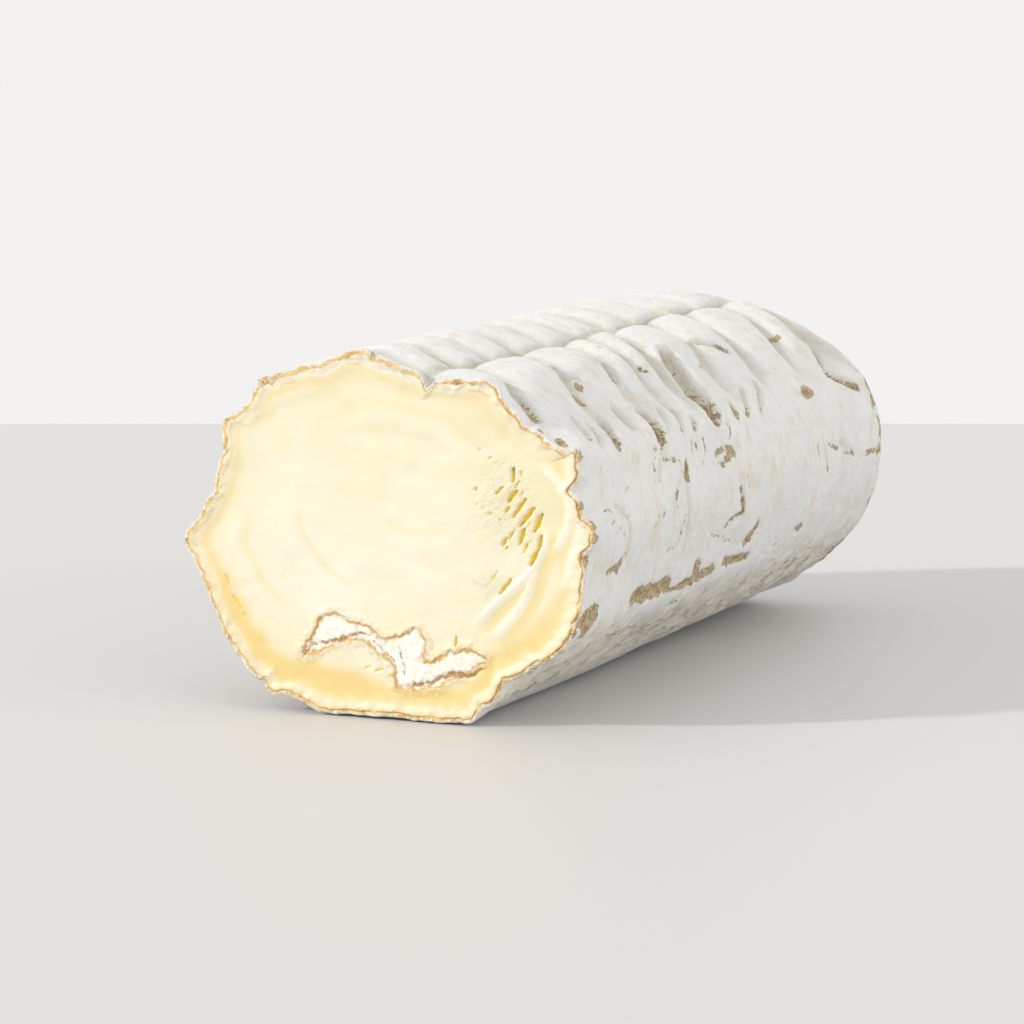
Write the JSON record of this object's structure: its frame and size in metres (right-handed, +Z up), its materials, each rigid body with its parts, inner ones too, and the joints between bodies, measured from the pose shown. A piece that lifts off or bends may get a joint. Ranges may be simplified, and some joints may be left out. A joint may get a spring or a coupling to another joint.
{
  "type": "soft-ripened cheese log",
  "caption": "Log of soft-ripened cheese lying on its side, cut square at one end to show pale paste, with a ridged, wrinkled white rind and a rounded natural far end.",
  "frame": {"origin": "on the surface the log rests on, under the middle of its bounding box", "axes": "+Z up, log lengthwise along Y with the cut face towards -Y and the natural end towards +Y, +X to the right as seen facing the cut face"},
  "size_m": [0.103, 0.208, 0.085],
  "materials": {
    "rind": "velvety matte white bloom with tan worn patches",
    "paste": "moist, softly glossy pale yellow paste, seen on the cut face"
  },
  "bodies": {
    "root": {"cheese_log": "rind"}
  },
  "joints": []
}
